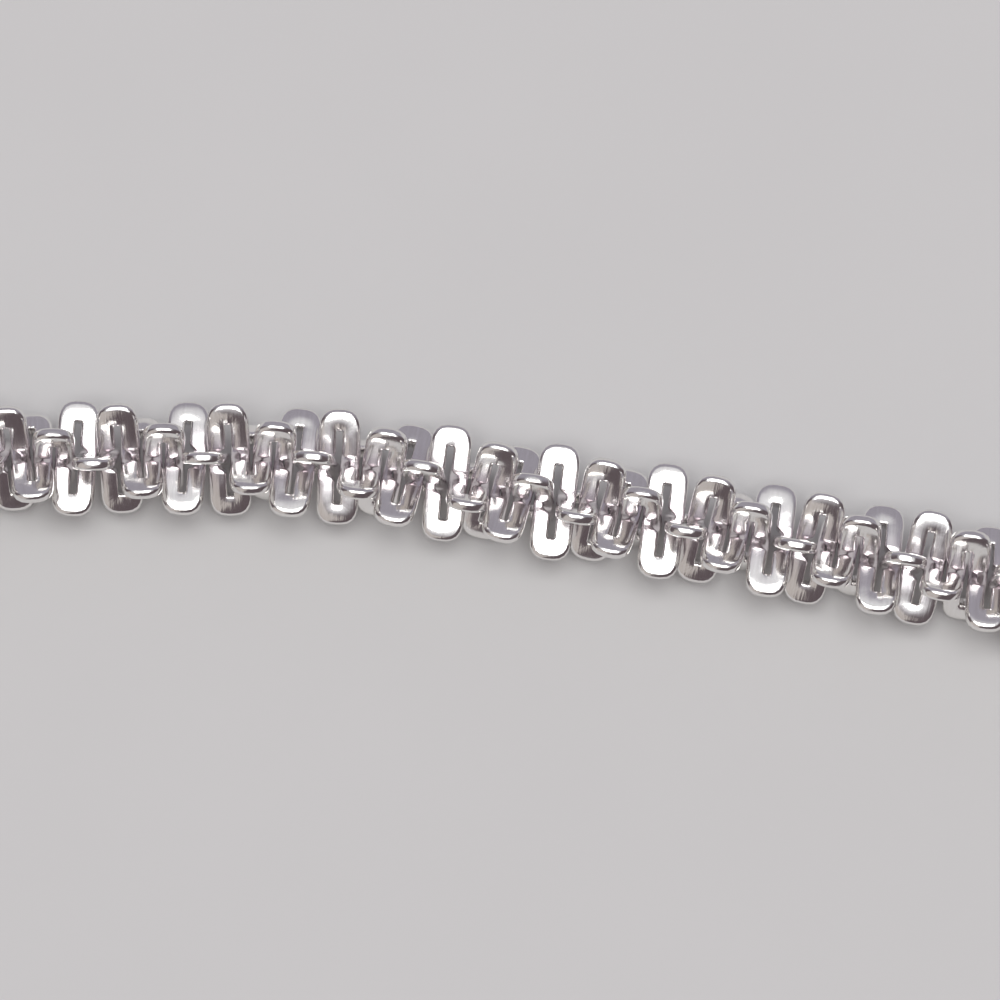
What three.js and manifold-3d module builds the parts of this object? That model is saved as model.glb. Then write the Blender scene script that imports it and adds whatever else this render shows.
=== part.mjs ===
// A fine chain necklace, closed and laid flat: one long chain, drawn here as a smooth tube of the chain's own
// diameter with a ring soldered to each end, and the spring-ring clasp that both rings are hooked into.
// Millimetres, +Z up. The necklace lies on Z = 0, with the middle of the chain on the +Y side, the clasp on
// the -Y side and the neck opening between them. The origin is under the centre of its box.
import * as THREE from "three";
import { mergeVertices } from "three/addons/utils/BufferGeometryUtils.js";
import Module from "manifold-3d";

// ---- driving dimensions ----
const necklaceLength = 450; // once round, through the clasp
const chainDiameter = 2.0; // across the tips of two opposite petals of the chain's links
const clearance = 0.3; // left between the pieces that hook into each other

// `sunk` is how far a piece goes into what it is soldered to, and each wire has so many sides, in so many
// steps along its length.
const tube = { sides: 8, steps: 80 };
const endRing = { wire: 0.5, hole: 2.0, sunk: 0.25, sides: 10, steps: 32 };
const clasp = { wire: 1.3, hole: 2.9, sides: 12, steps: 40 };
const claspEye = { wire: 0.6, hole: 1.5, sunk: 0.35, sides: 10, steps: 28 };
const claspKnob = { diameter: 0.7, length: 0.9, sunk: 0.3, atDegrees: 84, sides: 12 };

// The thinner stretch of the clasp's ring that slides back to open it.
const claspBolt = { wire: 0.8, fromDegrees: 112, toDegrees: 160, sunkDegrees: 8, sides: 10, steps: 12 };

// The chain from its middle round to the clasp, on one side; the other side is its mirror image. The two
// arcs have no length here, because closing the loop at the right length sets it.
const frontBend = { turnDegrees: 5.15, length: 2.05 };
const frontRun = { turnDegrees: 0, length: 10 };
const shoulderArc = { turnDegrees: 84.85 };
const napeArc = { turnDegrees: 90 };

const silver = { color: 0xd9d7d4, roughness: 0.22, metalness: 1.0 };

// ---- sizes worked out from them ----
const radians = THREE.MathUtils.degToRad;
const chainRadius = chainDiameter / 2;
const middleOf = (ring) => (ring.hole + ring.wire) / 2; // the radius of its wire's centre line
const outsideOf = (ring) => ring.hole / 2 + ring.wire;

// The end rings stand square to the clasp, and both lean about one line along X until their wires touch the
// surface: the rings' lowest point and the clasp's are then equally far below that line.
const lean =
  Math.acos((clasp.wire - endRing.wire) / 2 / Math.hypot(middleOf(endRing), middleOf(clasp))) -
  Math.atan2(middleOf(clasp), middleOf(endRing));
const hookHeight = middleOf(endRing) * Math.cos(lean) + endRing.wire / 2;

// Centres along X from the left end of the chain, each piece hooked into the one before it.
const leftRingX = outsideOf(endRing) - endRing.sunk;
const claspX = leftRingX + endRing.hole / 2 - clearance - clasp.wire / 2 + middleOf(clasp);
const claspEyeX = claspX + outsideOf(clasp) + outsideOf(claspEye) - claspEye.sunk;
const rightRingX =
  claspEyeX + claspEye.hole / 2 - clearance - endRing.wire / 2 + middleOf(endRing);
const closingSpan = rightRingX + outsideOf(endRing) - endRing.sunk;

// ---- the line that the chain lies along ----
// Half the chain as rows of constant curvature. Going round by 180 degrees and coming back to half the
// closing span, at the right length, gives two linear equations for the radii of the two arcs.
function halfRoute() {
  const bend = radians(frontBend.turnDegrees);
  const shoulder = radians(shoulderArc.turnDegrees);
  const nape = radians(napeArc.turnDegrees);
  const arcsLength = (necklaceLength - closingSpan) / 2 - frontBend.length - frontRun.length;
  const runEndX = (frontBend.length / bend) * Math.sin(bend) + frontRun.length * Math.cos(bend);
  const spare = runEndX - closingSpan / 2;
  const widening = Math.sin(bend + shoulder) - Math.sin(bend);
  const shoulderRadius = (arcsLength - nape * spare) / (shoulder + nape * widening);
  const napeRadius = spare + shoulderRadius * widening;
  return [
    { turn: bend, length: frontBend.length },
    { turn: radians(frontRun.turnDegrees), length: frontRun.length },
    { turn: shoulder, length: shoulder * shoulderRadius },
    { turn: nape, length: nape * napeRadius },
  ];
}

// The chain's centre line from its left end to its right end, with its middle over the route's own origin.
class ChainRoute extends THREE.Curve {
  constructor(rows) {
    super();
    this.rows = rows;
    this.half = rows.reduce((sum, row) => sum + row.length, 0);
  }

  getPoint(t, target = new THREE.Vector3()) {
    const along = (2 * t - 1) * this.half;
    let left = Math.abs(along);
    let heading = 0;
    let x = 0;
    let y = 0;
    for (const row of this.rows) {
      const step = Math.min(left, row.length);
      const turned = (row.turn * step) / row.length;
      const chord = turned ? (2 * step * Math.sin(turned / 2)) / turned : step;
      x += chord * Math.cos(heading + turned / 2);
      y -= chord * Math.sin(heading + turned / 2);
      heading += turned;
      left -= step;
    }
    return target.set(Math.sign(along) * x, y, chainRadius);
  }
}
const route = new ChainRoute(halfRoute());
route.arcLengthDivisions = 4000; // fine enough that the tube's steps are even
const closingY = route.getPoint(1).y;

// An arc of a circle about the Z axis.
class ArcRoute extends THREE.Curve {
  constructor(radius, fromDegrees, toDegrees) {
    super();
    Object.assign(this, { radius, from: radians(fromDegrees), to: radians(toDegrees) });
  }

  getPoint(t, target = new THREE.Vector3()) {
    const angle = this.from + t * (this.to - this.from);
    return target.set(this.radius * Math.cos(angle), this.radius * Math.sin(angle), 0);
  }
}

// ---- solids ----
const wasm = await Module();
wasm.setup();

function solidOf(geometry) {
  const merged = mergeVertices(geometry.clone().deleteAttribute("normal").deleteAttribute("uv"));
  const mesh = new wasm.Mesh({
    numProp: 3,
    vertProperties: merged.attributes.position.array,
    triVerts: new Uint32Array(merged.index.array),
  });
  return new wasm.Manifold(mesh);
}

function fused(geometries) {
  const mesh = geometries
    .map(solidOf)
    .reduce((all, solid) => all.add(solid))
    .getMesh();
  const made = new THREE.BufferGeometry();
  made.setAttribute("position", new THREE.BufferAttribute(mesh.vertProperties, 3));
  made.setIndex(new THREE.BufferAttribute(mesh.triVerts, 1));
  made.computeVertexNormals();
  return made;
}

// A wire along a flat curve, with two of its sides level. The radius is to its corners.
function wireAlong(curve, radius, { sides, steps }) {
  const corners = Array.from({ length: sides }, (_, i) => {
    const angle = ((2 * i + 1) * Math.PI) / sides;
    return new THREE.Vector2(radius * Math.cos(angle), radius * Math.sin(angle));
  });
  const section = new THREE.Shape(corners);
  return new THREE.ExtrudeGeometry(section, { steps, extrudePath: curve, bevelEnabled: false });
}

function wireRing(ring) {
  return new THREE.TorusGeometry(middleOf(ring), ring.wire / 2, ring.sides, ring.steps);
}

function chainGeometry() {
  const cornerRadius = chainRadius / Math.cos(Math.PI / tube.sides); // so that its flats touch the surface
  const ringAt = (x) =>
    wireRing(endRing)
      .rotateX(Math.PI / 2 + lean)
      .translate(x - closingSpan / 2, closingY, hookHeight);
  return fused([wireAlong(route, cornerRadius, tube), ringAt(leftRingX), ringAt(rightRingX)]);
}

// The clasp lies in its own XY plane about its own centre, with its eye on +X.
function claspGeometry() {
  const radius = middleOf(clasp);
  const { fromDegrees, toDegrees, sunkDegrees } = claspBolt;
  const body = new ArcRoute(radius, toDegrees - 360, fromDegrees);
  const bolt = new ArcRoute(radius, fromDegrees - sunkDegrees, toDegrees + sunkDegrees);
  const knobRadius = claspKnob.diameter / 2;
  const knob = new THREE.CylinderGeometry(knobRadius, knobRadius, claspKnob.length, claspKnob.sides)
    .translate(0, outsideOf(clasp) + claspKnob.length / 2 - claspKnob.sunk, 0)
    .rotateZ(radians(claspKnob.atDegrees - 90));
  return fused([
    wireAlong(body, clasp.wire / 2, clasp),
    wireAlong(bolt, claspBolt.wire / 2, claspBolt),
    wireRing(claspEye).translate(claspEyeX - claspX, 0, 0),
    knob,
  ]);
}

// ---- the necklace ----
const necklace = new THREE.Group();

function addPiece(name, geometry) {
  const piece = new THREE.Mesh(geometry, new THREE.MeshStandardMaterial(silver));
  piece.name = name;
  necklace.add(piece);
  return piece;
}

addPiece("chain", chainGeometry());
const claspPiece = addPiece("clasp", claspGeometry());
claspPiece.position.set(claspX - closingSpan / 2, closingY, hookHeight);
claspPiece.rotation.x = lean;

const box = new THREE.Box3().setFromObject(necklace, true);
const middle = box.getCenter(new THREE.Vector3());
necklace.position.set(-middle.x, -middle.y, 0);

export default necklace;
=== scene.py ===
import math
import random

import bpy
import numpy as np
from mathutils import Matrix, Vector


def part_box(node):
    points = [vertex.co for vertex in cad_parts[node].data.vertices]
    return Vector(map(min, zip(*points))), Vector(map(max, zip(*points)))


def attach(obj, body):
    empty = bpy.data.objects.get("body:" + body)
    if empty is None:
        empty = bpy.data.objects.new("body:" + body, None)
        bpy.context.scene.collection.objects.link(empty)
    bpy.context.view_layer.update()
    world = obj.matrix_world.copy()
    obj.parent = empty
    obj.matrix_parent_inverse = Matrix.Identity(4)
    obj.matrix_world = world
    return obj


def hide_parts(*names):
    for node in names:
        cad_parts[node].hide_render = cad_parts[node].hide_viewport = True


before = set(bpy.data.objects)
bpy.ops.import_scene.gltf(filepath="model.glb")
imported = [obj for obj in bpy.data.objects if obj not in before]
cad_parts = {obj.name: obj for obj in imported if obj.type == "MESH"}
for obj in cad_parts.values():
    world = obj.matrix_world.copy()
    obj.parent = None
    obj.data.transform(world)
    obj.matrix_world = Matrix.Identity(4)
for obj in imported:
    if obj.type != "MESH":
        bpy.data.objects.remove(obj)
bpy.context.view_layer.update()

MM = 0.001  # metres in a millimetre: sizes here are in millimetres until a mesh is placed

# ---- the necklace's sizes, as in the part's source ----
NECKLACE_LENGTH = 450.0
CHAIN_DIAMETER = 2.0
CLEARANCE = 0.3
END_RING = {"wire": 0.5, "hole": 2.0, "sunk": 0.25}
CLASP = {"wire": 1.3, "hole": 2.9}
CLASP_EYE = {"wire": 0.6, "hole": 1.5, "sunk": 0.35}
CLASP_BOLT = {"wire": 0.8, "from_degrees": 112, "to_degrees": 160}
CLASP_KNOB = {"diameter": 0.7, "length": 0.9, "sunk": 0.3, "at_degrees": 84}
LEAN = math.acos(
    (CLASP["wire"] - END_RING["wire"]) / math.hypot(*[r["hole"] + r["wire"] for r in (END_RING, CLASP)])
) - math.atan2(CLASP["hole"] + CLASP["wire"], END_RING["hole"] + END_RING["wire"])
HOOK_HEIGHT = (END_RING["hole"] + END_RING["wire"]) / 2 * math.cos(LEAN) + END_RING["wire"] / 2
FRONT_BEND = {"turn_degrees": 5.15, "length": 2.05}
FRONT_RUN = {"turn_degrees": 0.0, "length": 10.0}
SHOULDER_TURN_DEGREES = 84.85
NAPE_TURN_DEGREES = 90.0

# ---- the links ----
PITCH = 0.3743  # from one link to the next
TWIST_DEGREES = 73.33  # how far each link is turned from the one before
LEAN_DEGREES = 3.2  # how far a link's first petal leans back along the chain
LOOSE_DEGREES = 0.9  # how far a link may be turned or leant from its place, as links have play
ANCHOR = {"along": 2.38, "turn_degrees": 74.6}  # a link near the middle, and how far its petal leans from up
FINE_LINKS = range(-31, 35)  # the links round the middle, which are seen closest
CLEAR_OF_TABLE = 0.001  # the gap under a petal that points straight down

# A leg of a link is thin along the chain where it crosses the chain's axis, between the legs of its
# neighbours, and broad in the petal. `out` is its middle's distance along the chain from the link's centre.
LEG_AT_AXIS = {"out": 0.274, "wide": 0.160, "thick": 0.175}
LEG_IN_PETAL = {"out": 0.2075, "wide": 0.305, "thick": 0.240}
LEG_BROADENS = {"from": 0.09, "to": 0.24}  # heights above the chain's axis
PETAL_SHOULDER = 0.60  # the height where the petal's arch starts
SQUARENESS = 0.10  # how far the arch's shoulders stand out beyond a round arch
ARCH_DEPTH = 1.14  # how deep the arch is at its top, as a share of an even one
CROWN = 0.84  # the thickness at a petal's outer edge, as a share of that at its slot

# A fine link, and a light one for the rest of the loop: the heights where a leg's section is given, the
# steps in a quarter of the arch, and how far each edge of the wire is rounded and in how many steps. A light
# link's wire has six sides, because its edges are cut back until they meet.
FINE = {
    "leg_heights": (0.24, 0.215, 0.19, 0.165, 0.14, 0.115, 0.09),
    "arch_steps": 6,
    "slot_edge": (0.040, 2),
    "outer_edge": (0.068, 4),
}
LIGHT = {
    "leg_heights": (0.13,),
    "arch_steps": 2,
    "slot_edge": (LEG_IN_PETAL["thick"] / 2, 1),
    "outer_edge": (CROWN * LEG_IN_PETAL["thick"] / 2, 1),
}
ON_LINE = 1e-4  # a vertex nearer than this to a line lies on it
MERGED = 0.002  # vertices nearer to each other than this are made one


# ---- the line that the chain lies along ----
def middle_radius(ring):
    return (ring["hole"] + ring["wire"]) / 2


def outer_radius(ring):
    return ring["hole"] / 2 + ring["wire"]


def closing_places():
    """Where the rings and the clasp are along X, from the left end of the chain, and the whole span."""
    left_ring = outer_radius(END_RING) - END_RING["sunk"]
    clasp = left_ring + END_RING["hole"] / 2 - CLEARANCE - CLASP["wire"] / 2 + middle_radius(CLASP)
    eye = clasp + outer_radius(CLASP) + outer_radius(CLASP_EYE) - CLASP_EYE["sunk"]
    right_ring = eye + CLASP_EYE["hole"] / 2 - CLEARANCE - END_RING["wire"] / 2 + middle_radius(END_RING)
    span = right_ring + outer_radius(END_RING) - END_RING["sunk"]
    return {"left_ring": left_ring, "clasp": clasp, "eye": eye, "right_ring": right_ring, "span": span}


def half_route(span):
    """Half the chain as (turn, length) rows of constant curvature, from its middle to the clasp."""
    bend = math.radians(FRONT_BEND["turn_degrees"])
    shoulder = math.radians(SHOULDER_TURN_DEGREES)
    nape = math.radians(NAPE_TURN_DEGREES)
    arcs_length = (NECKLACE_LENGTH - span) / 2 - FRONT_BEND["length"] - FRONT_RUN["length"]
    run_end = FRONT_BEND["length"] / bend * math.sin(bend) + FRONT_RUN["length"] * math.cos(bend)
    spare = run_end - span / 2
    widening = math.sin(bend + shoulder) - math.sin(bend)
    shoulder_radius = (arcs_length - nape * spare) / (shoulder + nape * widening)
    nape_radius = spare + shoulder_radius * widening
    return [
        (bend, FRONT_BEND["length"]),
        (0.0, FRONT_RUN["length"]),
        (shoulder, shoulder * shoulder_radius),
        (nape, nape * nape_radius),
    ]


PLACES = closing_places()
ROUTE = half_route(PLACES["span"])
HALF_LENGTH = sum(length for turn, length in ROUTE)
MIDDLE = Vector((0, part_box("chain")[1].y / MM - CHAIN_DIAMETER / 2, CHAIN_DIAMETER / 2 + CLEAR_OF_TABLE))


def route_at(along):
    """The chain's centre line at a distance from its middle, positive to the right: the point, the direction
    along the chain and the level direction across it, towards the outside of the loop."""
    left, heading, x, y = abs(along), 0.0, 0.0, 0.0
    for turn, length in ROUTE:
        step = min(left, length)
        turned = turn * step / length
        chord = 2 * step * math.sin(turned / 2) / turned if turned else step
        x += chord * math.cos(heading + turned / 2)
        y -= chord * math.sin(heading + turned / 2)
        heading += turned
        left -= step
    side = math.copysign(1, along)
    ahead = Vector((math.cos(heading), -side * math.sin(heading), 0))
    across = Vector((-ahead.y, ahead.x, 0))
    return MIDDLE + Vector((side * x, y, 0)), ahead, across


# ---- modelling by hand ----
def select_none():
    bpy.ops.object.select_all(action="DESELECT")


def take_up(piece):
    """Deselects everything and makes one piece the active one."""
    select_none()
    bpy.context.view_layer.objects.active = piece


def edit_all():
    """Goes into edit mode on the active piece with all of it selected."""
    bpy.ops.object.mode_set(mode="EDIT")
    bpy.ops.mesh.select_all(action="SELECT")


def start(name):
    """Names the primitive that has just been added and goes into edit mode with all of it selected."""
    piece = bpy.context.object
    piece.name = piece.data.name = name
    edit_all()
    return piece


def select_where(piece, test):
    """Selects the vertices whose place passes the test, in edit mode."""
    bpy.ops.mesh.select_mode(type="VERT")
    bpy.ops.mesh.select_all(action="DESELECT")
    bpy.ops.object.mode_set(mode="OBJECT")
    for vertex in piece.data.vertices:
        vertex.select = test(vertex.co)
    bpy.ops.object.mode_set(mode="EDIT")


def add_modifier(piece, kind, **settings):
    """Gives the active piece a modifier and applies it."""
    modifier = piece.modifiers.new(kind.title(), kind)
    for name, value in settings.items():
        setattr(modifier, name, value)
    bpy.ops.object.modifier_apply(modifier=modifier.name)


def leg_section(height):
    """The wire's place, width and thickness at a height up the leg."""
    part = (height - LEG_BROADENS["from"]) / (LEG_BROADENS["to"] - LEG_BROADENS["from"])
    part = min(max(part, 0.0), 1.0)
    part = part * part * (3 - 2 * part)
    return {key: LEG_AT_AXIS[key] * (1 - part) + LEG_IN_PETAL[key] * part for key in LEG_AT_AXIS}


def link_piece(name, leg_heights, arch_steps, slot_edge, outer_edge):
    """One link, flat in its XY plane about its own centre, with X along the chain and a petal on each of +Y
    and -Y. The wire's section is spun round a quarter of the arch and drawn down one leg to the axis, and
    that quarter is mirrored twice."""
    above = leg_section(PETAL_SHOULDER)
    select_none()
    bpy.ops.mesh.primitive_plane_add(size=1)
    piece = start(name)
    bpy.ops.transform.resize(value=(above["wide"], above["thick"], 1), center_override=(0, 0, 0))
    select_where(piece, lambda co: co.x > 0)
    bpy.ops.transform.resize(value=(1, CROWN, 1), center_override=(0, 0, 0))
    corners = above["wide"] / 2 - ON_LINE
    for side, (rounding, steps) in ((1, outer_edge), (-1, slot_edge)):
        select_where(piece, lambda co: side * co.x > corners)
        bpy.ops.mesh.bevel(offset=rounding, segments=steps, affect="VERTICES")
    bpy.ops.mesh.select_all(action="SELECT")
    bpy.ops.mesh.remove_doubles(threshold=MERGED)
    bpy.ops.mesh.select_all(action="SELECT")
    bpy.ops.mesh.delete(type="ONLY_FACE")
    bpy.ops.mesh.select_all(action="SELECT")
    bpy.ops.transform.rotate(value=math.pi / 2, orient_axis="X", center_override=(0, 0, 0))
    bpy.ops.transform.translate(value=(above["out"], PETAL_SHOULDER, 0))
    centre = (0, PETAL_SHOULDER, 0)
    bpy.ops.mesh.spin(steps=arch_steps, angle=math.pi / 2, center=centre, axis=(0, 0, -1))
    select_where(piece, lambda co: co.y > PETAL_SHOULDER + ON_LINE)
    half_circle = above["out"] + above["wide"] / 2
    stretch = (CHAIN_DIAMETER / 2 - PETAL_SHOULDER) / half_circle
    bpy.ops.transform.resize(value=(1, stretch, 1), center_override=centre)

    def turn_of(co):
        return math.atan2((co.y - PETAL_SHOULDER) / stretch, co.x)

    for step in range(1, arch_steps + 1):
        turn = math.pi / 2 * step / arch_steps
        select_where(piece, lambda co: abs(turn_of(co) - turn) < math.pi / 4 / arch_steps)
        squared = 1 + SQUARENESS * math.sin(2 * turn) ** 2
        bpy.ops.transform.resize(value=(squared, squared, 1), center_override=centre)
        deeper = 1 + (ARCH_DEPTH - 1) * math.sin(turn) ** 2
        out = squared * half_circle
        rim = (out * math.cos(turn), PETAL_SHOULDER + out * stretch * math.sin(turn), 0)
        bpy.ops.transform.resize(value=(deeper, deeper, 1), center_override=rim)
    select_where(piece, lambda co: abs(co.y - PETAL_SHOULDER) < ON_LINE)
    heights = [PETAL_SHOULDER, *leg_heights, 0.0]
    for high, low in zip(heights, heights[1:]):
        below = leg_section(low)
        fall = (below["out"] - above["out"], low - high, 0)
        bpy.ops.mesh.extrude_edges_move(TRANSFORM_OT_translate={"value": fall})
        bpy.ops.transform.resize(
            value=(below["wide"] / above["wide"], 1, below["thick"] / above["thick"]),
            center_override=(below["out"], low, 0),
        )
        above = below
    bpy.ops.object.mode_set(mode="OBJECT")
    add_modifier(
        piece, "MIRROR", use_axis=(True, True, False), use_mirror_merge=True, merge_threshold=MERGED
    )
    edit_all()
    bpy.ops.mesh.normals_make_consistent(inside=False)
    bpy.ops.object.mode_set(mode="OBJECT")
    return piece


# ---- the chain ----
def link_numbers():
    """The numbers of the first and the last link, counted from the anchor link."""
    half_link = LEG_IN_PETAL["out"] + LEG_IN_PETAL["wide"] / 2
    reach = HALF_LENGTH - half_link
    first = -math.floor((reach + ANCHOR["along"]) / PITCH)
    last = math.floor((reach - ANCHOR["along"]) / PITCH)
    return first, last


def link_frame(number):
    """A link's centre and the three directions of its own mesh: along the chain, out to its first petal, and
    through its thickness."""
    point, ahead, across = route_at(ANCHOR["along"] + number * PITCH)
    play = random.Random(number)
    turn_degrees = ANCHOR["turn_degrees"] + number * TWIST_DEGREES + play.uniform(-1, 1) * LOOSE_DEGREES
    lean_degrees = LEAN_DEGREES + play.uniform(-1, 1) * LOOSE_DEGREES
    turn = math.radians(turn_degrees)
    petal = Vector((0, 0, 1)) * math.cos(turn) + across * math.sin(turn)
    through = ahead.cross(petal)
    lean = Matrix.Rotation(math.radians(lean_degrees), 3, through)
    return point, lean @ ahead, lean @ petal, through


def joined_links(name, pattern, numbers):
    """One piece of many links: the pattern's mesh is copied to each place, as arrays. Each vertex keeps its
    place on its own link and the link's number, for the material."""
    mesh = pattern.data
    places = np.empty(len(mesh.vertices) * 3)
    mesh.vertices.foreach_get("co", places)
    places = places.reshape(-1, 3)
    corners = np.empty(len(mesh.loops), np.int32)
    mesh.loops.foreach_get("vertex_index", corners)
    sizes = np.empty(len(mesh.polygons), np.int32)
    mesh.polygons.foreach_get("loop_total", sizes)
    all_places, all_corners = [], []
    for row, number in enumerate(numbers):
        point, ahead, petal, through = link_frame(number)
        turned = places @ np.array([ahead, petal, through]) + np.array(point)
        all_places.append(turned)
        all_corners.append(corners + row * len(places))
    made = bpy.data.meshes.new(name)
    count = len(numbers)
    made.vertices.add(count * len(places))
    made.vertices.foreach_set("co", (np.concatenate(all_places) * MM).ravel())
    made.loops.add(count * len(corners))
    made.loops.foreach_set("vertex_index", np.concatenate(all_corners))
    made.polygons.add(count * len(sizes))
    every_size = np.tile(sizes, count)
    made.polygons.foreach_set("loop_start", np.cumsum(every_size) - every_size)
    made.update(calc_edges=True)
    made.validate()
    made.shade_smooth()
    own = made.attributes.new("link_place", "FLOAT_VECTOR", "POINT")
    own.data.foreach_set("vector", np.tile(places, (count, 1)).ravel())
    numbered = made.attributes.new("link_number", "FLOAT", "POINT")
    numbered.data.foreach_set("value", np.repeat(np.array(numbers, float), len(places)))
    piece = bpy.data.objects.new(name, made)
    bpy.context.scene.collection.objects.link(piece)
    take_up(piece)
    add_modifier(piece, "WEIGHTED_NORMAL")
    return piece


def make_chain():
    """The chain in three pieces: the fine links round the middle, and the light links on each side."""
    fine = link_piece("fine_link", **FINE)
    light = link_piece("light_link", **LIGHT)
    first, last = link_numbers()
    stretches = [
        ("chain_front", fine, FINE_LINKS),
        ("chain_left", light, range(first, FINE_LINKS.start)),
        ("chain_right", light, range(FINE_LINKS.stop, last + 1)),
    ]
    pieces = [joined_links(name, pattern, list(numbers)) for name, pattern, numbers in stretches]
    bpy.data.objects.remove(fine)
    bpy.data.objects.remove(light)
    return pieces


# ---- the end rings and the clasp ----
# They are made flat in XY about their own centre, in millimetres, and then leant and moved to their place.
SOLDER_ON_RING = {"radius": 0.40, "long": 1.25}
SOLDER_ON_CLASP = {"radius": 0.44, "long": 0.7}
CLASP_BORE = {"wide": 0.92, "deep_degrees": 9}  # the bolt slides in it
CLASP_SLOT = {"wide": 0.5, "deep": 0.4, "from_degrees": 36, "to_degrees": 92}  # the knob slides in it
CASE_ROUNDING = 0.14  # of the edges at the case's two ends
KNOB_STALK = 0.4
KNOB_HEAD_LENGTH = 0.4
KNOB_ROUNDING = 0.1
SHARP_DEGREES = 50  # the least bend at an edge that gets rounded
SMOOTH_DEGREES = 35  # the greatest bend between two faces that is shaded smooth
ROUND_STEPS = 72  # of a full turn
RING_SIDES, CASE_SIDES, BOLT_SIDES = 20, 28, 24
DROP_STEPS = {"segments": 24, "ring_count": 16}


def closing_point(name):
    """The centre of a ring, of the clasp or of its eye."""
    end, ahead, across = route_at(-HALF_LENGTH)
    return Vector((end.x + PLACES[name], end.y, HOOK_HEIGHT))


def wire_ring(name, ring, centre_x=0.0):
    """A closed ring of round wire."""
    select_none()
    bpy.ops.mesh.primitive_torus_add(
        major_radius=middle_radius(ring),
        minor_radius=ring["wire"] / 2,
        major_segments=ROUND_STEPS,
        minor_segments=RING_SIDES,
    )
    piece = start(name)
    bpy.ops.transform.translate(value=(centre_x, 0, 0))
    bpy.ops.object.mode_set(mode="OBJECT")
    return piece


def solder_drop(place, radius, long):
    """A drop of solder, drawn out along X."""
    select_none()
    bpy.ops.mesh.primitive_uv_sphere_add(radius=radius, **DROP_STEPS)
    piece = start("solder_drop")
    bpy.ops.transform.resize(value=(long, 1, 1), center_override=(0, 0, 0))
    bpy.ops.transform.translate(value=place)
    bpy.ops.object.mode_set(mode="OBJECT")
    return piece


def bent_bar(name, sides, size, radius, from_degrees, to_degrees):
    """A bar bent round Z through an arc and closed at both ends. With 4 sides it is flat all round."""
    wide, high = size
    select_none()
    bpy.ops.mesh.primitive_circle_add(vertices=sides, radius=0.5, rotation=(math.pi / 2, 0, 0))
    piece = start(name)
    if sides == 4:
        bpy.ops.transform.rotate(value=math.pi / 4, orient_axis="Y", center_override=(0, 0, 0))
        bpy.ops.transform.resize(value=(math.sqrt(2), 1, math.sqrt(2)), center_override=(0, 0, 0))
    bpy.ops.transform.resize(value=(wide, 1, high), center_override=(0, 0, 0))
    bpy.ops.transform.translate(value=(radius, 0, 0))
    start_angle = math.radians(from_degrees)
    bpy.ops.transform.rotate(value=-start_angle, orient_axis="Z", center_override=(0, 0, 0))
    turn = math.radians(to_degrees - from_degrees)
    steps = math.ceil(ROUND_STEPS * turn / (2 * math.pi))
    bpy.ops.mesh.spin(steps=steps, angle=turn, center=(0, 0, 0), axis=(0, 0, -1))
    bpy.ops.mesh.select_all(action="SELECT")
    bpy.ops.mesh.fill_holes(sides=0)
    bpy.ops.mesh.select_all(action="SELECT")
    bpy.ops.mesh.normals_make_consistent(inside=False)
    bpy.ops.object.mode_set(mode="OBJECT")
    return piece


def round_edges(piece, width):
    """Rounds the sharp edges of the active piece."""
    sharp = math.radians(SHARP_DEGREES)
    add_modifier(piece, "BEVEL", width=width, segments=3, limit_method="ANGLE", angle_limit=sharp)


def combine(piece, other, operation):
    """Fuses another piece to this one, or cuts it out of this one."""
    take_up(piece)
    add_modifier(piece, "BOOLEAN", operation=operation, object=other)
    bpy.data.objects.remove(other)


def settle(piece, name, turn):
    """Leans a piece and moves it to its place."""
    take_up(piece)
    edit_all()
    bpy.ops.transform.rotate(value=-turn, orient_axis="X", center_override=(0, 0, 0))
    bpy.ops.transform.translate(value=closing_point(name))
    bpy.ops.object.mode_set(mode="OBJECT")


def finish_smooth(piece):
    """Takes a piece from millimetres to metres, with its curved faces shaded smooth."""
    take_up(piece)
    edit_all()
    bpy.ops.transform.resize(value=(MM, MM, MM), center_override=(0, 0, 0))
    bpy.ops.object.mode_set(mode="OBJECT")
    piece.select_set(True)
    bpy.ops.object.shade_smooth_by_angle(angle=math.radians(SMOOTH_DEGREES))
    return piece


def make_end_ring(side_name, side):
    """A ring soldered to the last link, at the height of the chain's axis."""
    ring_name = side_name + "_ring"
    ring = wire_ring(side_name + "_end_ring", END_RING)
    settle(ring, ring_name, math.pi / 2 + LEAN)
    drop = (HOOK_HEIGHT - CHAIN_DIAMETER / 2) / math.cos(LEAN)
    out = math.sqrt(middle_radius(END_RING) ** 2 - drop**2)
    to_joint = Vector((side * out, drop * math.sin(LEAN), CHAIN_DIAMETER / 2 - HOOK_HEIGHT))
    combine(ring, solder_drop(closing_point(ring_name) + to_joint, **SOLDER_ON_RING), "UNION")
    return finish_smooth(ring)


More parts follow.
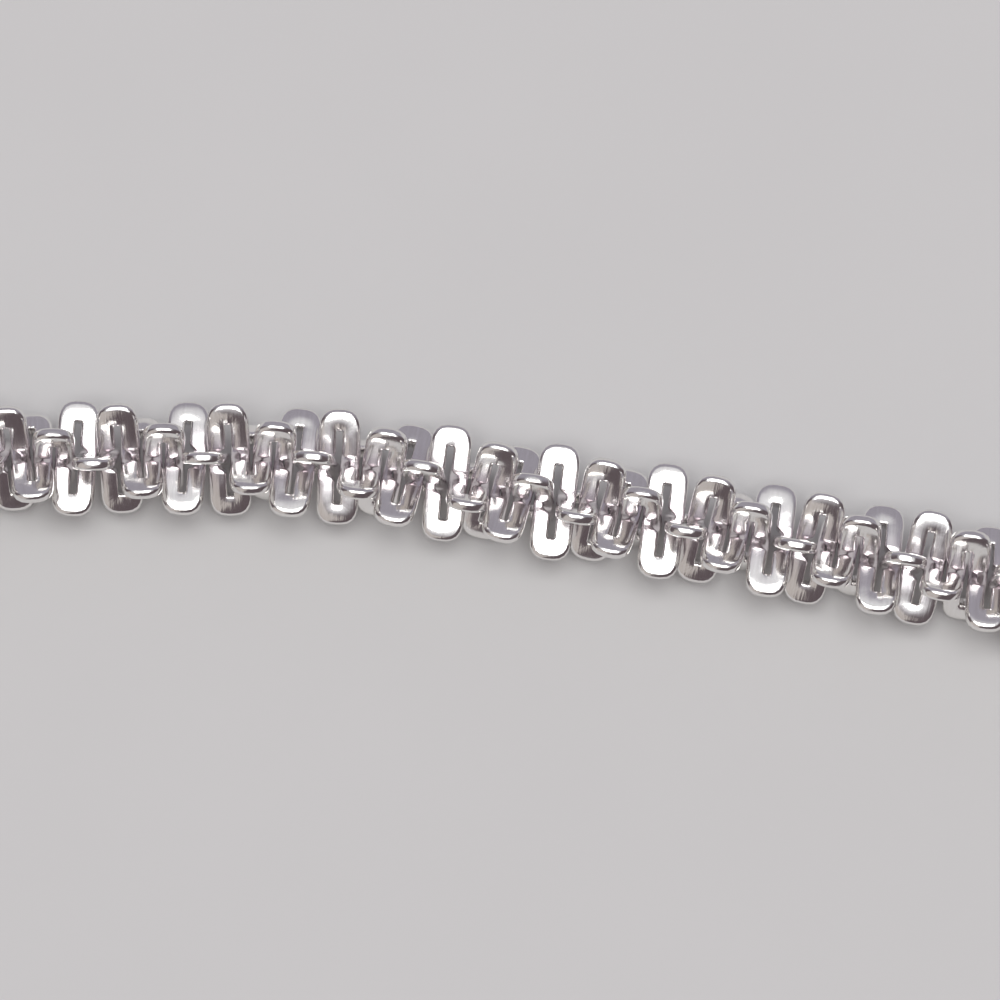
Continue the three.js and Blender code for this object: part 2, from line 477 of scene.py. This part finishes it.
def make_clasp_case():
    """The bent tube, with the bore that the bolt slides in, the slot for its knob, and the eye."""
    radius = middle_radius(CLASP)
    bolt_from, bolt_to = CLASP_BOLT["from_degrees"], CLASP_BOLT["to_degrees"]
    case = bent_bar("clasp_case", CASE_SIDES, (CLASP["wire"],) * 2, radius, bolt_to - 360, bolt_from)
    round_edges(case, CASE_ROUNDING)
    bore_from, bore_to = bolt_from - CLASP_BORE["deep_degrees"], bolt_to + CLASP_BORE["deep_degrees"]
    bore = bent_bar("bore", BOLT_SIDES, (CLASP_BORE["wide"],) * 2, radius, bore_from, bore_to)
    combine(case, bore, "DIFFERENCE")
    slot_size = (2 * CLASP_SLOT["deep"], CLASP_SLOT["wide"])
    slot_ends = (CLASP_SLOT["from_degrees"], CLASP_SLOT["to_degrees"])
    combine(case, bent_bar("slot", 4, slot_size, outer_radius(CLASP), *slot_ends), "DIFFERENCE")
    eye_x = PLACES["eye"] - PLACES["clasp"]
    combine(case, wire_ring("eye", CLASP_EYE, eye_x), "UNION")
    combine(case, solder_drop((eye_x - outer_radius(CLASP_EYE), 0, 0), **SOLDER_ON_CLASP), "UNION")
    settle(case, "clasp", LEAN)
    return finish_smooth(case)


def make_clasp_bolt():
    """The bolt across the clasp's gap, with the knob that slides it back."""
    radius = middle_radius(CLASP)
    bolt_from = CLASP_BOLT["from_degrees"] - CLASP_BORE["deep_degrees"]
    bolt_to = CLASP_BOLT["to_degrees"] + CLASP_BORE["deep_degrees"]
    bolt = bent_bar("clasp_bolt", BOLT_SIDES, (CLASP_BOLT["wire"],) * 2, radius, bolt_from, bolt_to)
    head_top = outer_radius(CLASP) - CLASP_KNOB["sunk"] + CLASP_KNOB["length"]
    stalk_low = outer_radius(CLASP) - CLASP_SLOT["deep"]
    knob_angle = math.radians(CLASP_KNOB["at_degrees"])
    for name, diameter, low, high in [
        ("stalk", KNOB_STALK, stalk_low, head_top - KNOB_HEAD_LENGTH / 2),
        ("head", CLASP_KNOB["diameter"], head_top - KNOB_HEAD_LENGTH, head_top),
    ]:
        select_none()
        bpy.ops.mesh.primitive_cylinder_add(
            vertices=BOLT_SIDES, radius=diameter / 2, depth=high - low, rotation=(0, math.pi / 2, 0)
        )
        knob = start(name)
        bpy.ops.transform.translate(value=((high + low) / 2, 0, 0))
        bpy.ops.transform.rotate(value=-knob_angle, orient_axis="Z", center_override=(0, 0, 0))
        bpy.ops.object.mode_set(mode="OBJECT")
        round_edges(knob, KNOB_ROUNDING)
        take_up(bolt)
        bolt.select_set(True)
        knob.select_set(True)
        bpy.ops.object.join()
    settle(bolt, "clasp", LEAN)
    return finish_smooth(bolt)


# ---- materials ----
def linear(hex_colour):
    """An sRGB hex colour as linear RGBA."""
    parts = [int(hex_colour[i : i + 2], 16) / 255 for i in (1, 3, 5)]
    return [c / 12.92 if c <= 0.04045 else ((c + 0.055) / 1.055) ** 2.4 for c in parts] + [1.0]


def new_material(name, metallic=0.0, roughness=0.5):
    material = bpy.data.materials.new(name)
    material.use_nodes = True
    shader = material.node_tree.nodes["Principled BSDF"]
    shader.inputs["Metallic"].default_value = metallic
    shader.inputs["Roughness"].default_value = roughness
    return material, material.node_tree, shader


def add_node(tree, kind, inputs, **settings):
    """Adds a node. An input is given a value, or the output socket that it takes its value from."""
    node = tree.nodes.new(kind)
    for name, value in settings.items():
        setattr(node, name, value)
    for key, value in inputs.items():
        if isinstance(value, bpy.types.NodeSocket):
            tree.links.new(value, node.inputs[key])
        else:
            node.inputs[key].default_value = value
    return node


def make_rolled_silver():
    """Sterling silver wire, rolled flat and bent into links: a bright mirror, a little wavy, with fine lines
    up and down each petal. Near the chain's axis, where no cloth reaches to polish it, it is rougher, and
    its colour is slightly darker and more violet: painted shade for the crowded core between the links,
    along with the duller silver there."""
    material, tree, shader = new_material("rolled_sterling_silver", metallic=1.0)
    place = add_node(tree, "ShaderNodeAttribute", {}, attribute_name="link_place").outputs["Vector"]
    number = add_node(tree, "ShaderNodeAttribute", {}, attribute_name="link_number").outputs["Fac"]
    # The real lines are about 0.01 mm apart and wouldn't show, so these are coarser.
    line_spacing, line_length, line_depth = 0.04, 0.6, 0.0022
    stretched = add_node(
        tree,
        "ShaderNodeMapping",
        {"Vector": place, "Scale": (1 / line_spacing, 1 / line_length, 1 / line_spacing)},
    ).outputs["Vector"]
    lines = add_node(
        tree,
        "ShaderNodeTexNoise",
        {"Vector": stretched, "W": number, "Scale": 1.0, "Detail": 2.0},
        noise_dimensions="4D",
    ).outputs["Fac"]
    # Bending and assembly leave the flats a little uneven.
    wave_spacing, wave_depth = 0.3, 0.0075
    waves = add_node(
        tree,
        "ShaderNodeTexNoise",
        {"Vector": place, "W": number, "Scale": 1 / wave_spacing, "Detail": 1.0},
        noise_dimensions="4D",
    ).outputs["Fac"]
    wavy = add_node(tree, "ShaderNodeBump", {"Height": waves, "Distance": wave_depth * MM, "Strength": 1.0})
    lined = add_node(
        tree,
        "ShaderNodeBump",
        {"Height": lines, "Distance": line_depth * MM, "Strength": 1.0, "Normal": wavy.outputs["Normal"]},
    )
    tree.links.new(lined.outputs["Normal"], shader.inputs["Normal"])
    # The polish comes in with the height above the axis, and the painted shade near the axis fades out with
    # it, with a ragged border that follows the waves.
    height = add_node(tree, "ShaderNodeSeparateXYZ", {"Vector": place}).outputs["Y"]
    up = add_node(tree, "ShaderNodeMath", {0: height}, operation="ABSOLUTE").outputs[0]
    raggedness = -0.35
    ragged = add_node(tree, "ShaderNodeMath", {0: waves, 1: raggedness, 2: up}, operation="MULTIPLY_ADD")
    polish_and_painted_light = add_node(
        tree,
        "ShaderNodeMapRange",
        {"Value": ragged.outputs[0], "From Min": -0.05, "From Max": 0.45},
    ).outputs["Result"]
    # Painted shade: the colour towards the axis is darker and more violet, for the shade in the crowded core
    # between the links.
    colour = add_node(
        tree,
        "ShaderNodeMix",
        {"Factor": polish_and_painted_light, 6: linear("#EEE8EB"), 7: linear("#FBFAF8")},
        data_type="RGBA",
    ).outputs[2]
    streaked = add_node(
        tree,
        "ShaderNodeMix",
        {"Factor": lines, 6: linear("#EDEBEA"), 7: linear("#FFFFFF")},
        data_type="RGBA",
    ).outputs[2]
    shade = add_node(
        tree,
        "ShaderNodeMix",
        {"Factor": 1.0, 6: colour, 7: streaked},
        data_type="RGBA",
        blend_type="MULTIPLY",
    ).outputs[2]
    tree.links.new(shade, shader.inputs["Base Color"])
    rough = add_node(tree, "ShaderNodeMapRange", {"Value": polish_and_painted_light, "To Min": 0.24, "To Max": 0.14})
    tree.links.new(rough.outputs["Result"], shader.inputs["Roughness"])
    return material


def make_polished_silver():
    """Drawn and tumbled silver of the rings and the clasp: smoother than the links, with shallow dents and
    with hairline scratches in all directions."""
    material, tree, shader = new_material("tumbled_sterling_silver", metallic=1.0)
    place = add_node(tree, "ShaderNodeTexCoord", {}).outputs["Object"]
    dent = {"spacing": 0.8 * MM, "depth": 0.02 * MM}
    hair = {"spacing": 0.12 * MM, "depth": 0.002 * MM}
    dents = add_node(
        tree,
        "ShaderNodeTexNoise",
        {"Vector": place, "Scale": 1 / dent["spacing"], "Detail": 1.0},
    ).outputs["Fac"]
    hairs = add_node(
        tree,
        "ShaderNodeTexNoise",
        {"Vector": place, "Scale": 1 / hair["spacing"], "Detail": 3.0, "Distortion": 2.0},
    ).outputs["Fac"]
    dented = add_node(tree, "ShaderNodeBump", {"Height": dents, "Distance": dent["depth"], "Strength": 0.6})
    scratched = add_node(
        tree,
        "ShaderNodeBump",
        {"Height": hairs, "Distance": hair["depth"], "Strength": 0.5, "Normal": dented.outputs["Normal"]},
    )
    tree.links.new(scratched.outputs["Normal"], shader.inputs["Normal"])
    colour = add_node(
        tree,
        "ShaderNodeMix",
        {"Factor": dents, 6: linear("#D8D3CE"), 7: linear("#EFEDEA")},
        data_type="RGBA",
    )
    tree.links.new(colour.outputs[2], shader.inputs["Base Color"])
    rough = add_node(tree, "ShaderNodeMapRange", {"Value": hairs, "To Min": 0.10, "To Max": 0.24})
    tree.links.new(rough.outputs["Result"], shader.inputs["Roughness"])
    return material


def make_board():
    """Pale matt card: an even grey with a faint cloudiness, which keeps the metal's reflections plain."""
    material, tree, shader = new_material("pale_matt_card", roughness=0.9)
    place = add_node(tree, "ShaderNodeTexCoord", {}).outputs["Object"]
    cloud_spacing = 6 * MM
    clouds = add_node(
        tree,
        "ShaderNodeTexNoise",
        {"Vector": place, "Scale": 1 / cloud_spacing, "Detail": 4.0},
    )
    colour = add_node(
        tree,
        "ShaderNodeMix",
        {"Factor": clouds.outputs["Fac"], 6: linear("#C6C5C4"), 7: linear("#CAC9C8")},
        data_type="RGBA",
    )
    tree.links.new(colour.outputs[2], shader.inputs["Base Color"])
    return material


# ---- the necklace ----
def put_on(piece, material, node):
    """Gives a piece its material, and puts it in the place of a CAD node."""
    piece.data.materials.clear()
    piece.data.materials.append(material)
    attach(piece, "root")
    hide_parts(node)


rolled_silver = make_rolled_silver()
polished_silver = make_polished_silver()
for piece in make_chain():
    put_on(piece, rolled_silver, "chain")
for piece in (make_end_ring("left", -1), make_end_ring("right", 1)):
    put_on(piece, polished_silver, "chain")
for piece in (make_clasp_case(), make_clasp_bolt()):
    put_on(piece, polished_silver, "clasp")
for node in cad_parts.values():
    node.data.materials.clear()
    node.data.materials.append(polished_silver)

# ---- floor and camera ----
FLOOR_WIDTH = 3.0  # in metres
select_none()
bpy.ops.mesh.primitive_plane_add(size=FLOOR_WIDTH, location=(0, 0, 0))
floor = bpy.context.object
floor.name = "floor"
floor.data.materials.append(make_board())

CAMERA_ELEVATION_DEGREES = 78.0
VIEW = {"along": 3.30, "below": 0.136, "width": 17.05}  # where the camera looks, and how much it takes in
LENS, SENSOR = 200.0, 36.0
aim_point, aim_ahead, aim_across = route_at(VIEW["along"])
roll = math.radians(FRONT_BEND["turn_degrees"])
image_right = Vector((math.cos(roll), math.sin(roll), 0))
image_up = Vector((-math.sin(roll), math.cos(roll), 0))
elevation = math.radians(CAMERA_ELEVATION_DEGREES)
toward = Vector((0, 0, 1)) * math.sin(elevation) - image_up * math.cos(elevation)
up = toward.cross(image_right)
aim = (aim_point - image_up * VIEW["below"]) * MM
camera_data = bpy.data.cameras.new("camera")
camera_data.lens, camera_data.sensor_width = LENS, SENSOR
camera_data.clip_start = 0.005
camera = bpy.data.objects.new("camera", camera_data)
camera.location = aim + toward * (VIEW["width"] * MM * LENS / SENSOR)
camera.rotation_euler = Matrix((image_right, up, toward)).transposed().to_euler()
bpy.context.scene.collection.objects.link(camera)
bpy.context.scene.camera = camera


# ---- light ----
def around(azimuth_degrees, elevation_degrees):
    """A direction, with azimuth 0 to the right of the view and 90 to its top."""
    azimuth, elevation = math.radians(azimuth_degrees), math.radians(elevation_degrees)
    level = image_right * math.cos(azimuth) + image_up * math.sin(azimuth)
    return level * math.cos(elevation) + Vector((0, 0, 1)) * math.sin(elevation)


def add_softbox(name, direction, distance, size, power, colour):
    """A square light that faces the middle of the view."""
    data = bpy.data.lights.new(name, "AREA")
    data.shape = "SQUARE"
    data.size = size
    data.energy = power
    data.color = linear(colour)[:3]
    light = bpy.data.objects.new(name, data)
    light.location = aim + direction.normalized() * distance
    light.rotation_euler = direction.to_track_quat("Z", "Y").to_euler()
    bpy.context.scene.collection.objects.link(light)


# Pale patches in the room, each fading out between two angles from its middle.
ROOM_GLOWS = [
    {"middle": around(-112, 76), "from_degrees": 2, "to_degrees": 28, "colour": "#C4C1C6"},
    {"middle": around(90, 88), "from_degrees": 24, "to_degrees": 38, "colour": "#DAD9DD"},
]


def make_room():
    """A plain room round the table: cool grey behind it, darker and warmer in front, and paler overhead."""
    world = bpy.data.worlds.new("room")
    bpy.context.scene.world = world
    world.use_nodes = True
    tree = world.node_tree
    direction = add_node(tree, "ShaderNodeTexCoord", {}).outputs["Generated"]
    split = add_node(tree, "ShaderNodeSeparateXYZ", {"Vector": direction})
    back = add_node(
        tree,
        "ShaderNodeMapRange",
        {"Value": split.outputs["Y"], "From Min": 0.05, "From Max": 0.55},
        interpolation_type="SMOOTHSTEP",
    ).outputs["Result"]
    lit = add_node(
        tree,
        "ShaderNodeMix",
        {"Factor": back, 6: linear("#5E5458"), 7: linear("#9B97A1")},
        data_type="RGBA",
    ).outputs[2]
    for glow in ROOM_GLOWS:
        nearness = add_node(
            tree,
            "ShaderNodeVectorMath",
            {0: direction, 1: glow["middle"]},
            operation="DOT_PRODUCT",
        ).outputs["Value"]
        outer, inner = (math.cos(math.radians(glow[edge])) for edge in ("to_degrees", "from_degrees"))
        share = add_node(
            tree,
            "ShaderNodeMapRange",
            {"Value": nearness, "From Min": outer, "From Max": inner},
            interpolation_type="SMOOTHSTEP",
        ).outputs["Result"]
        lit = add_node(
            tree, "ShaderNodeMix", {"Factor": share, 6: lit, 7: linear(glow["colour"])}, data_type="RGBA"
        ).outputs[2]
    background = tree.nodes["Background"]
    tree.links.new(lit, background.inputs["Color"])
    background.inputs["Strength"].default_value = 1.0


make_room()
add_softbox("overhead_softbox", around(-90, 86), distance=0.5, size=0.34, power=1.75, colour="#FFFFFF")
add_softbox("front_left_softbox", around(-134, 28), distance=0.6, size=0.62, power=0.52, colour="#F6F1EA")
bpy.context.scene.view_settings.view_transform = "Standard"
